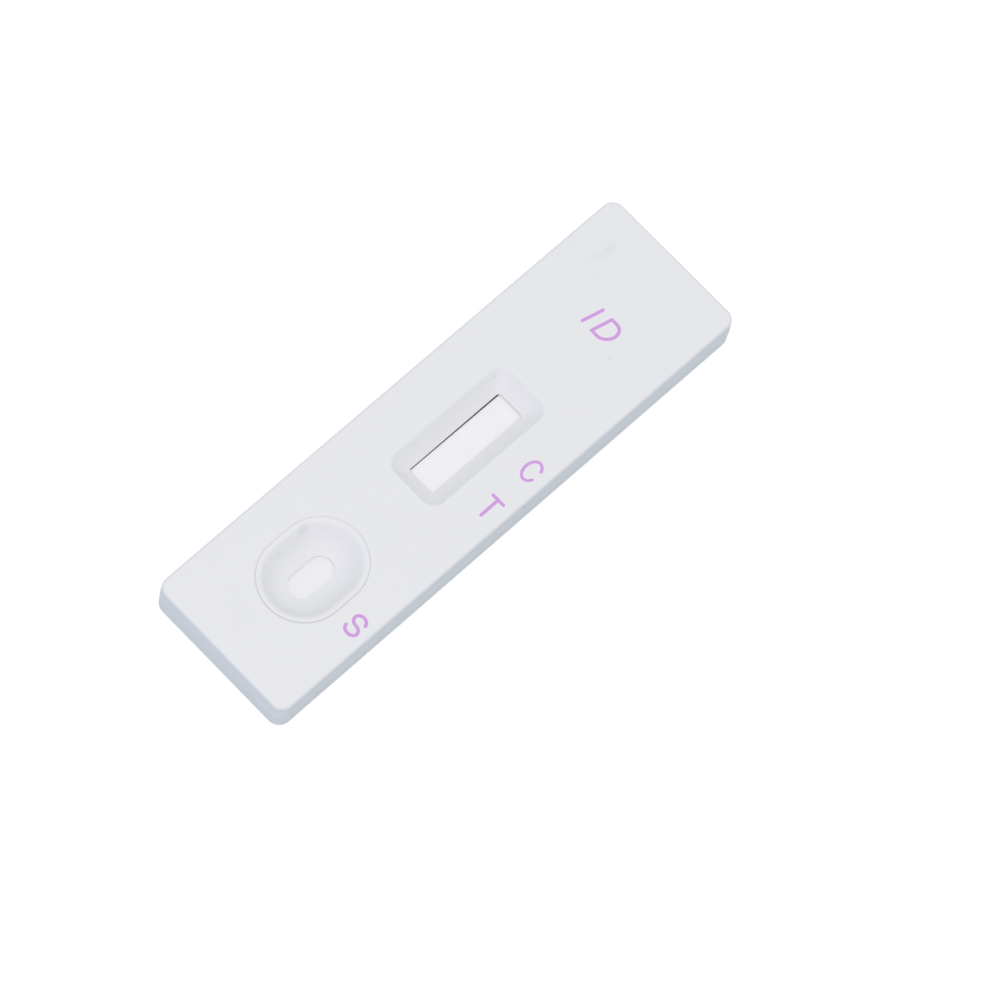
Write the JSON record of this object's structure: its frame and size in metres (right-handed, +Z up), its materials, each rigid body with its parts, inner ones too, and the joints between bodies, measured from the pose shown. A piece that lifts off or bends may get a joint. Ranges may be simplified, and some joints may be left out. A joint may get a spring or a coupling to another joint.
{
  "type": "lateral flow cassette",
  "caption": "Flat white moulded cassette with an obround sample well and a sloped result window over a layered test strip, for single-use rapid tests.",
  "frame": {"origin": "middle of the underside", "axes": "+X along the case from the sample well to the result window, +Z up out of the top face"},
  "size_m": [0.07, 0.02, 0.005],
  "materials": {
    "housing": "moulded white polystyrene, fine satin",
    "backing": "white vinyl card",
    "membrane": "matt white nitrocellulose",
    "conjugate_pad": "glass fibre with dried red-purple reagent",
    "sample_pad": "white pressed fibre",
    "absorbent_pad": "white cotton linter",
    "print": "lilac pad-printed ink"
  },
  "bodies": {
    "root": {"upper_housing": "housing", "lower_housing": "housing", "backing_card": "backing", "membrane": "membrane", "conjugate_pad": "conjugate_pad", "sample_pad": "sample_pad", "absorbent_pad": "absorbent_pad"}
  },
  "joints": []
}
